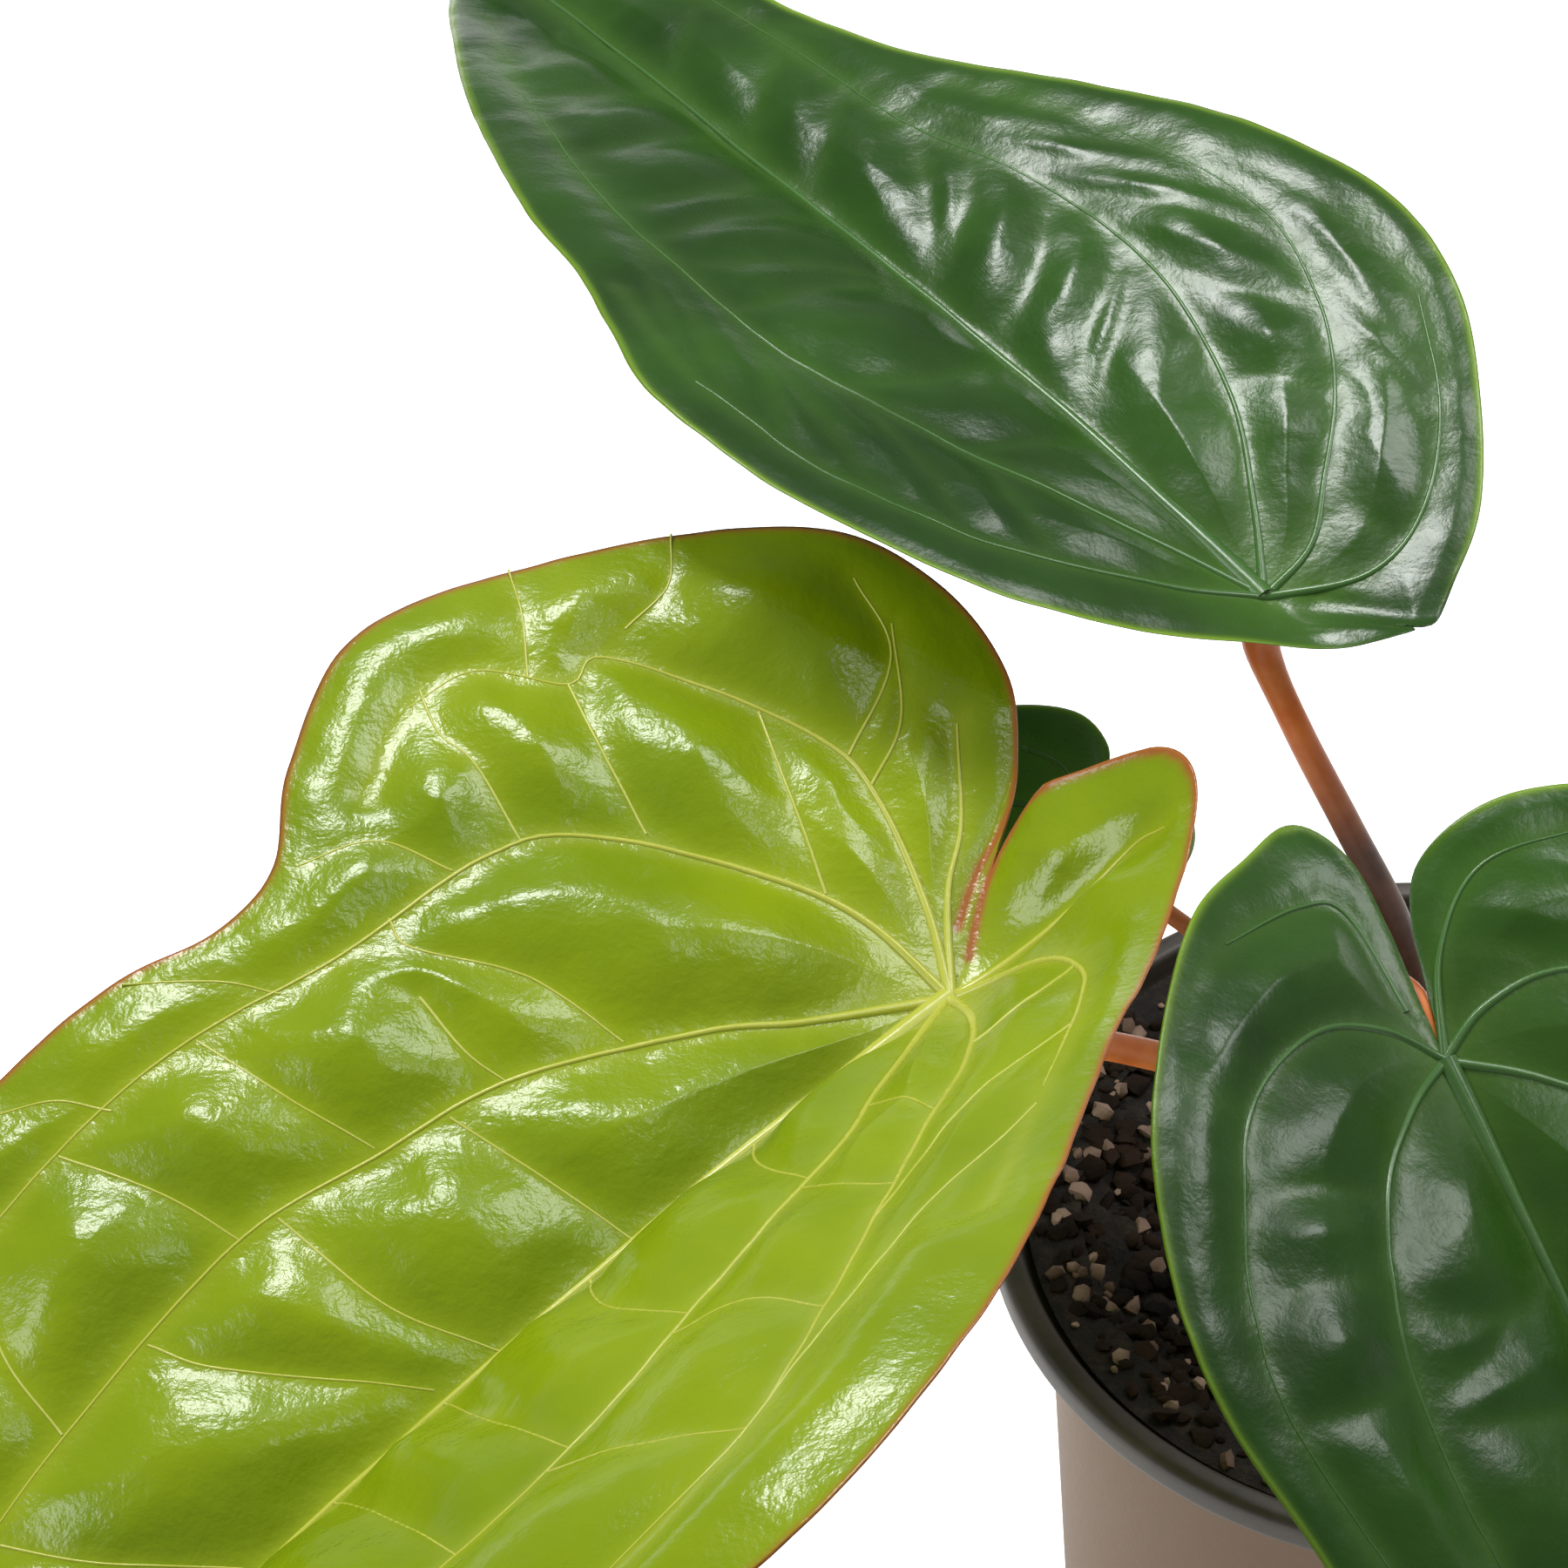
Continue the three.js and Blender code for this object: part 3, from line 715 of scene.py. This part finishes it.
def turned(name, profile, replaces=(), steps=TURN_STEPS):
    bpy.ops.object.select_all(action="DESELECT")
    bpy.ops.mesh.primitive_plane_add(size=0.001, location=(0, 0, 0))
    piece = bpy.context.object
    piece.name = name
    bpy.ops.object.mode_set(mode="EDIT")
    bpy.ops.mesh.select_all(action="SELECT")
    bpy.ops.mesh.merge(type="CENTER")
    here = Vector((profile[0][0], 0, profile[0][1]))
    bpy.ops.transform.translate(value=here)
    for radius, height in profile[1:]:
        there = Vector((radius, 0, height))
        bpy.ops.mesh.extrude_region_move(TRANSFORM_OT_translate={"value": there - here})
        here = there
    bpy.ops.mesh.select_all(action="SELECT")
    bpy.ops.mesh.spin(steps=steps, angle=math.tau, center=(0, 0, 0), axis=(0, 0, 1))
    bpy.ops.mesh.select_all(action="SELECT")
    bpy.ops.mesh.remove_doubles(threshold=0.00001)
    bpy.ops.mesh.normals_make_consistent(inside=False)
    bpy.ops.object.mode_set(mode="OBJECT")
    bpy.ops.object.shade_smooth_by_angle(angle=math.radians(40))
    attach(piece, "root")
    if replaces:
        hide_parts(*replaces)
    print(name, len(piece.data.polygons), "faces")
    return piece


def rounded(corner, before, after, radius, steps=5):
    """Points of an arc that rounds one corner of a profile."""
    a = Vector(before) - Vector(corner)
    b = Vector(after) - Vector(corner)
    start = Vector(corner) + a.normalized() * radius
    end = Vector(corner) + b.normalized() * radius
    points = []
    for step in range(steps + 1):
        t = step / steps
        point = start * (1 - t) ** 2 + Vector(corner) * 2 * t * (1 - t) + end * t ** 2
        points.append(tuple(point))
    return points


def rounded_profile(corners):
    """corners are (radius, height, rounding); a rounding of 0 keeps the corner sharp."""
    profile = []
    for index, (radius, height, rounding) in enumerate(corners):
        if rounding == 0:
            profile.append((radius * MM, height * MM))
            continue
        before, after = corners[index - 1], corners[index + 1]
        arc = rounded((radius, height), before[:2], after[:2], rounding)
        profile.extend((x * MM, z * MM) for x, z in arc)
    return profile


# %% [markdown]
# The outer pot is a plain tapered cup with a flat foot and a softened lip. The nursery pot has a
# flat rim with a rolled edge that hangs over the outer pot's lip, and a shoulder inside.

# %% Pots
cover_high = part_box("cover_pot")[1]
nursery_low, nursery_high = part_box("nursery_pot")
COVER_TOP = cover_high[2] / MM
COVER_RADIUS = cover_high[0] / MM
COVER_FOOT = 45
COVER_WALL = 2
POT_TOP = nursery_high[2] / MM
RIM = nursery_high[0] / MM
COLLAR = 4.6
RIM_WIDTH = 3.6
NURSERY_FOOT = nursery_low[2] / MM
NURSERY_DROP = 0.6
NURSERY_WALL = 1.2


def cover_radius(height):
    return COVER_FOOT + (COVER_RADIUS - COVER_FOOT) * height / COVER_TOP


def nursery_radius(height):
    return cover_radius(height) - COVER_WALL - NURSERY_DROP


cover = turned("cover_pot_body", rounded_profile([
    (0, 1.0, 0), (COVER_FOOT - 6, 1.0, 0.4), (COVER_FOOT - 5, 0, 0.4), (COVER_FOOT, 0, 0.8),
    (cover_radius(40), 40, 0), (cover_radius(80), 80, 0),
    (COVER_RADIUS, COVER_TOP, 0.7), (COVER_RADIUS - COVER_WALL, COVER_TOP, 0.7),
    (cover_radius(3) - COVER_WALL, 3, 1.5), (0, 3, 0)]), ("cover_pot",))
shoulder = POT_TOP - COLLAR
wall = nursery_radius(shoulder)
nursery = turned("nursery_pot_body", rounded_profile([
    (0, NURSERY_FOOT, 0), (nursery_radius(NURSERY_FOOT), NURSERY_FOOT, 1.5),
    (wall, shoulder, 0.6), (RIM, shoulder, 1.3), (RIM, POT_TOP, 1.7),
    (RIM - RIM_WIDTH, POT_TOP, 0.9), (RIM - RIM_WIDTH - 0.8, shoulder + 1.3, 1.0),
    (wall - NURSERY_WALL, shoulder - 1.4, 1.0),
    (nursery_radius(NURSERY_FOOT) - NURSERY_WALL, NURSERY_FOOT + NURSERY_WALL, 1.0),
    (0, NURSERY_FOOT + NURSERY_WALL, 0)]), ("nursery_pot",))

# %% [markdown]
# The taupe pot has a dry, slightly mottled coat; the nursery pot is thin black plastic with a
# dull sheen and fine scuffs.

# %% Pot finishes
taupe = Shader("taupe_coat")
mottle = taupe.noise(9.0, 4.0)
grain = taupe.noise(900.0, 2.0)
taupe.set("Base Color", taupe.mix(
    taupe.ramp(mottle, 0.3, 0.7), (0.165, 0.102, 0.066), (0.205, 0.132, 0.088)))
taupe.set("Roughness", 0.52 + grain * 0.12)
taupe.set("Specular IOR Level", 0.3)
taupe.bump(grain, 0.0002, 0.25)
finish_with(cover, taupe)

black = Shader("black_plastic")
scuff = black.noise(60.0, 5.0, 0.7)
black.set("Base Color", black.mix(
    black.ramp(scuff, 0.4, 0.75), (0.034, 0.025, 0.019), (0.078, 0.060, 0.047)))
black.set("Roughness", 0.34 + scuff * 0.22)
black.bump(black.noise(500.0), 0.0002, 0.2)
finish_with(nursery, black)

# %% [markdown]
# Soil fills the pot to a little under its rim, and is banked up against the wall. Its top is a
# disc of fine rings whose points are raised and sunk at random, so that it looks crumbly.

# %% Soil
soil_low, soil_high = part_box("potting_soil")
SOIL_RADIUS = soil_high[0] / MM
SOIL_TOP = soil_high[2] / MM - 1.5
soil_profile = [(0, soil_low[2]), (cover_radius(soil_low[2] / MM) * MM - 0.0045, soil_low[2])]
SHELF = shoulder + 1.9
LIP = RIM - RIM_WIDTH - 1.6
soil_profile.append((SOIL_RADIUS * MM, (SOIL_TOP - 1) * MM))
soil_profile.append((SOIL_RADIUS * MM, SHELF * MM))
soil_profile.append((LIP * MM, SHELF * MM))
SOIL_RINGS = 48
SOIL_LIFT = 1.8
CRUMB_CLEAR = 9.0


def ground(radius):
    """Height in mm of the soil, which is banked up against the rim."""
    bank = SHELF + 0.5 - SOIL_TOP - SOIL_LIFT
    return SOIL_TOP + SOIL_LIFT + bank * smooth_step(radius, 26, LIP - 1)


for ring in range(SOIL_RINGS + 1):
    radius = LIP * (1 - ring / SOIL_RINGS)
    soil_profile.append((radius * MM, ground(radius) * MM))
soil = turned("soil_body", soil_profile, ("potting_soil",), steps=180)
for vertex in soil.data.vertices:
    spot = vertex.co
    radius = spot.xy.length / MM
    if abs(spot.z / MM - ground(radius)) < 0.01 and radius < LIP - 0.5:
        x, y = np.array([spot.x / MM]), np.array([spot.y / MM])
        lump = 1.3 * waves(x, y, 13, 3)[0] + 1.1 * waves(x, y, 5, 4)[0]
        near_edge = 1 - 0.8 * smooth_step(radius, LIP - 8, LIP)
        spot.z += (lump + rng.uniform(-0.55, 0.55) - 0.3) * near_edge * MM


def crumbs(name, count, low, high, squash, detail):
    """Many small lumps, each a rounded block pushed out of true, joined into one piece."""
    bpy.ops.object.select_all(action="DESELECT")
    bpy.ops.mesh.primitive_ico_sphere_add(subdivisions=detail, radius=1)
    seed_piece = bpy.context.object
    shape = np.empty(len(seed_piece.data.vertices) * 3)
    seed_piece.data.vertices.foreach_get("co", shape)
    shape = shape.reshape(-1, 3)
    faces = np.array([polygon.vertices[:] for polygon in seed_piece.data.polygons])
    points, triangles = [], []
    for index in range(count):
        size = rng.uniform(low, high)
        radius = math.sqrt(rng.uniform(CRUMB_CLEAR ** 2, (LIP - high * 0.8) ** 2))
        turn = rng.uniform(0, math.tau)
        width = size * rng.uniform(0.55, 1.0)
        depth = size * rng.uniform(squash, squash + 0.35)
        stretch = np.array([size, width, depth])
        knobs = 1 + np.array([rng.uniform(-0.24, 0.24) for _ in range(len(shape))])
        lump = shape * knobs[:, None] * stretch
        spin, tip = rng.uniform(0, math.tau), rng.uniform(-0.6, 0.6)
        c, s = math.cos(spin), math.sin(spin)
        turn_z = np.array([[c, -s, 0], [s, c, 0], [0, 0, 1]])
        c, s = math.cos(tip), math.sin(tip)
        turn_x = np.array([[1, 0, 0], [0, c, -s], [0, s, c]])
        lump = lump @ turn_x.T @ turn_z.T
        x, y = radius * math.cos(turn), radius * math.sin(turn)
        points.append((lump + [x, y, ground(radius) + size * 0.2]) * MM)
        triangles.append(faces + index * len(shape))
    bpy.data.objects.remove(seed_piece)
    mesh = bpy.data.meshes.new(name)
    mesh.from_pydata(np.vstack(points).tolist(), [], np.vstack(triangles).tolist())
    piece = bpy.data.objects.new(name, mesh)
    bpy.context.scene.collection.objects.link(piece)
    bpy.context.view_layer.objects.active = piece
    piece.select_set(True)
    bpy.ops.object.shade_smooth_by_angle(angle=math.radians(50))
    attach(piece, "root")
    print(name, count, "lumps")
    return piece


bark = crumbs("bark_crumbs", 1300, 0.6, 2.2, 0.35, 1)
perlite = crumbs("perlite_lumps", 560, 0.5, 1.8, 0.6, 1)

# %% [markdown]
# Damp peat is nearly black with brown fibres; bark is a little redder; perlite is a puffed white
# glass, stained tan by the wet soil.

# %% Soil finishes
peat = Shader("damp_peat")
peat_grain = peat.noise(340.0, 5.0, 0.7)
peat.set("Base Color", peat.mix(
    peat.ramp(peat_grain, 0.45, 0.8), (0.006, 0.003, 0.002), (0.05, 0.028, 0.016)))
peat.set("Roughness", 0.85)
peat.bump(peat_grain, 0.0012, 1.0)
finish_with(soil, peat)

bark_finish = Shader("wet_bark")
bark_grain = bark_finish.noise(260.0, 4.0, 0.65)
bark_finish.set("Base Color", bark_finish.mix(
    bark_finish.ramp(bark_finish.noise(70.0), 0.35, 0.7), (0.005, 0.0025, 0.002), (0.035, 0.018, 0.011)))
bark_finish.set("Roughness", 0.9)
bark_finish.set("Specular IOR Level", 0.2)
bark_finish.bump(bark_grain, 0.0008, 0.9)
finish_with(bark, bark_finish)

white = Shader("stained_perlite")
white_grain = white.noise(420.0, 3.0, 0.6)
stain = white.ramp(white.noise(110.0, 2.0), 0.35, 0.65)
white.set("Base Color", white.mix(stain, (0.15, 0.085, 0.06), (0.46, 0.30, 0.235)))
white.set("Roughness", 0.8)
white.bump(white_grain, 0.0006, 0.8)
finish_with(perlite, white)

# %% [markdown]
# A leaf stalk is a stout, slightly tapering rod, thickened where it clasps the stem and again
# just under the blade, where the joint lets the leaf turn to the light. Each is drawn as a curve
# with its own thickness at every point, then made a mesh. Its points are given from the middle of
# the rim, like the joints.

# %% Stalks
STALKS = {
    "young_leaf": (205, [(-14, -6, 12), (-25, -8, 29), (-43, -13, 42), (-58, -24, 56)]),
    "upper_leaf": (110, [(-4, 10, 14), (-5, 10, 28), (-8, 10, 42), (-15, 12, 57), (-22, 15, 71)]),
    "front_leaf": (290, [(5, -12, 12), (7, -16, 30), (4, -26, 52)]),
    "rear_leaf": (160, [(-12, 5, 11), (-22, 8, 28), (-38, 10, 44)]),
}
STALK_BASE = 10.2
SOIL_DEPTH = 12
FOOT_RISE = 9
STALK_FOOT = POT_TOP - SOIL_DEPTH + FOOT_RISE
STALK_RADIUS = 2.2


def tag_run(piece, low, high):
    """Stores how far along its height each point lies, for colour that changes along a stalk."""
    layer = piece.data.attributes.new("run", "FLOAT", "POINT")
    heights = [(vertex.co.z / MM - low) / (high - low) for vertex in piece.data.vertices]
    layer.data.foreach_set("value", heights)


stalks = []
for name, (turn, knots) in STALKS.items():
    leaf = LEAVES[name]
    axis_along, axis_across, axis_out = blade_axes(leaf)
    joint = np.array(above_rim(leaf["joint"]))
    size = 0.62 if name == "rear_leaf" else 1.0
    turn = math.radians(turn)
    base = (STALK_BASE * math.cos(turn), STALK_BASE * math.sin(turn), STALK_FOOT)
    top = [joint - axis_out * 8 - axis_along, joint - axis_out]
    if name == "front_leaf":
        top = [joint - axis_out * 9 - axis_along * 14 + axis_across * 3,
               joint - axis_out * 1.6 - axis_along * 9 + axis_across * 2,
               joint - axis_out * 1.2 - axis_along * 1.5]
    knots = [base, *(above_rim(knot) for knot in knots), *(tuple(point) for point in top)]
    path = spline(knots, 72)
    share = np.linspace(0, 1, len(path))
    knee = -0.45 if name == "front_leaf" else 0.30
    swell = knee * np.exp(-((share - 0.95) / 0.06) ** 2) + 0.45 * np.exp(-(share / 0.10) ** 2)
    widths = size * STALK_RADIUS * (0.96 - 0.12 * share + swell * 0.8)
    piece = rod(name + "_stalk_rod", [(path, widths)], (name + "_stalk",))
    orange_length = 40 if name == "young_leaf" else 0
    tag_run(piece, STALK_FOOT - orange_length, joint[2] - orange_length)
    stalks.append(piece)

# %% [markdown]
# The stalks are red-brown below and clearer orange under the blade, with fine lengthwise streaks.

# %% Stalk finish
stalk_skin = Shader("stalk_skin")
streak = stalk_skin.noise(180.0, 3.0)
run = stalk_skin.ramp(stalk_skin.attribute("run"), 0.62, 0.82)
streaks = stalk_skin.ramp(streak, 0.35, 0.7)
dark_stalk = stalk_skin.mix(streaks, (0.045, 0.017, 0.010), (0.105, 0.045, 0.024))
bright_stalk = stalk_skin.mix(streaks, (0.50, 0.115, 0.020), (0.62, 0.190, 0.045))
stalk_skin.set("Base Color", stalk_skin.mix(run, dark_stalk, bright_stalk))
stalk_skin.set("Roughness", 0.34 + streak * 0.15)
stalk_skin.set("Specular IOR Level", 0.3)
stalk_skin.bump(streak, 0.0003, 0.4)
for piece in stalks:
    finish_with(piece, stalk_skin)

# %% [markdown]
# The short stem is ringed where old leaves have dropped. Aerial roots leave it and dip to the
# soil, and two dry, papery sheaths stand round the growing point.

# %% Stem, roots and sheaths
stem_low, stem_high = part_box("stem")
STEM_FOOT, STEM_TOP = stem_low[2] / MM, stem_high[2] / MM
stem_profile = [(0, STEM_FOOT - 1), (7.4, STEM_FOOT - 1)]
STEM_STEPS = 40
for step in range(STEM_STEPS + 1):
    share = step / STEM_STEPS
    ring = sum(math.exp(-((share - centre) / 0.035) ** 2) for centre in (0.12, 0.30, 0.48, 0.66))
    radius = 7.0 + 0.7 * ring - 3.5 * max(0, (share - 0.75) / 0.25) ** 2
    stem_profile.append((radius, STEM_FOOT + (STEM_TOP - STEM_FOOT) * share))
stem_profile.append((0, STEM_TOP + 0.2))
stem = turned("stem_body", [(r * MM, z * MM) for r, z in stem_profile], ("stem",), steps=48)

ROOTS = [(25, 30), (70, 24), (335, 27)]
ROOT_START = 8.4
ROOT_LIFT = 3.4
roots = []
for index, (turn, reach) in enumerate(ROOTS):
    c, s = math.cos(math.radians(turn)), math.sin(math.radians(turn))
    rest = SOIL_TOP + ROOT_LIFT
    knots = [(ROOT_START - 0.9, rest + 7), (ROOT_START + reach * 0.25, rest + 8),
             (ROOT_START + reach * 0.6, rest + 4), (ROOT_START + reach, rest)]
    path = spline([(out * c, out * s, z) for out, z in knots], 40)
    share = np.linspace(0, 1, 40)
    wobble = 0.35 * np.sin(share * 21 + index)
    path[:, 0] += -s * wobble
    path[:, 1] += c * wobble
    widths = 1.35 - 0.35 * share + 0.12 * np.sin(share * 33 + index)
    number = index + 1
    roots.append(rod(f"aerial_root_rod_{number}", [(path, widths)], (f"aerial_root_{number}",)))

SHEATHS = [(60, 30, 0.22), (240, 22, 0.3)]
SHEATH_OFFSET = 2.4
SHEATH_TRIM = 0.97
sheaths = []
for index, (turn, height, lean) in enumerate(SHEATHS):
    c, s = math.cos(math.radians(turn)), math.sin(math.radians(turn))
    share = np.linspace(0, 1, 30)
    out = SHEATH_OFFSET + height * lean * share * SHEATH_TRIM
    path = np.stack([out * c, out * s, STEM_TOP + 0.4 + height * SHEATH_TRIM * share], 1)
    widths = np.maximum(2.0 * (1 - share ** 2.2), 0.12)
    piece = rod(f"sheath_blade_{index + 1}", [(path, widths)], (f"sheath_{index + 1}",))
    sheaths.append(piece)

stem_skin = Shader("stem_skin")
scar = stem_skin.noise(130.0, 4.0)
stem_skin.set("Base Color", stem_skin.mix(
    stem_skin.ramp(scar, 0.35, 0.7), (0.10, 0.085, 0.03), (0.22, 0.20, 0.07)))
stem_skin.set("Roughness", 0.55 + scar * 0.2)
stem_skin.bump(scar, 0.0008, 0.8)
finish_with(stem, stem_skin)
root_skin = Shader("root_skin")
root_grain = root_skin.noise(300.0, 4.0)
root_skin.set("Base Color", root_skin.mix(
    root_skin.ramp(root_grain, 0.3, 0.7), (0.16, 0.10, 0.05), (0.34, 0.25, 0.15)))
root_skin.set("Roughness", 0.8)
root_skin.bump(root_grain, 0.0006, 0.8)
for piece in roots:
    finish_with(piece, root_skin)
paper = Shader("dry_sheath")
fibre = paper.node("ShaderNodeMapping", None, {"Vector": paper.place(), "Scale": (1.0, 1.0, 0.12)})
fibre_inputs = {"Vector": fibre, "Scale": 900.0, "Detail": 3.0}
fibre = paper.node("ShaderNodeTexNoise", None, fibre_inputs, output="Fac")
paper.set("Base Color", paper.mix(paper.ramp(fibre, 0.35, 0.65), (0.22, 0.13, 0.06), (0.48, 0.34, 0.18)))
paper.set("Roughness", 0.75)
paper.bump(fibre, 0.0006, 0.7)
for piece in sheaths:
    finish_with(piece, paper)

# %% [markdown]
# Last, the view layer is brought up to date.

# %% Finish
bpy.context.view_layer.update()
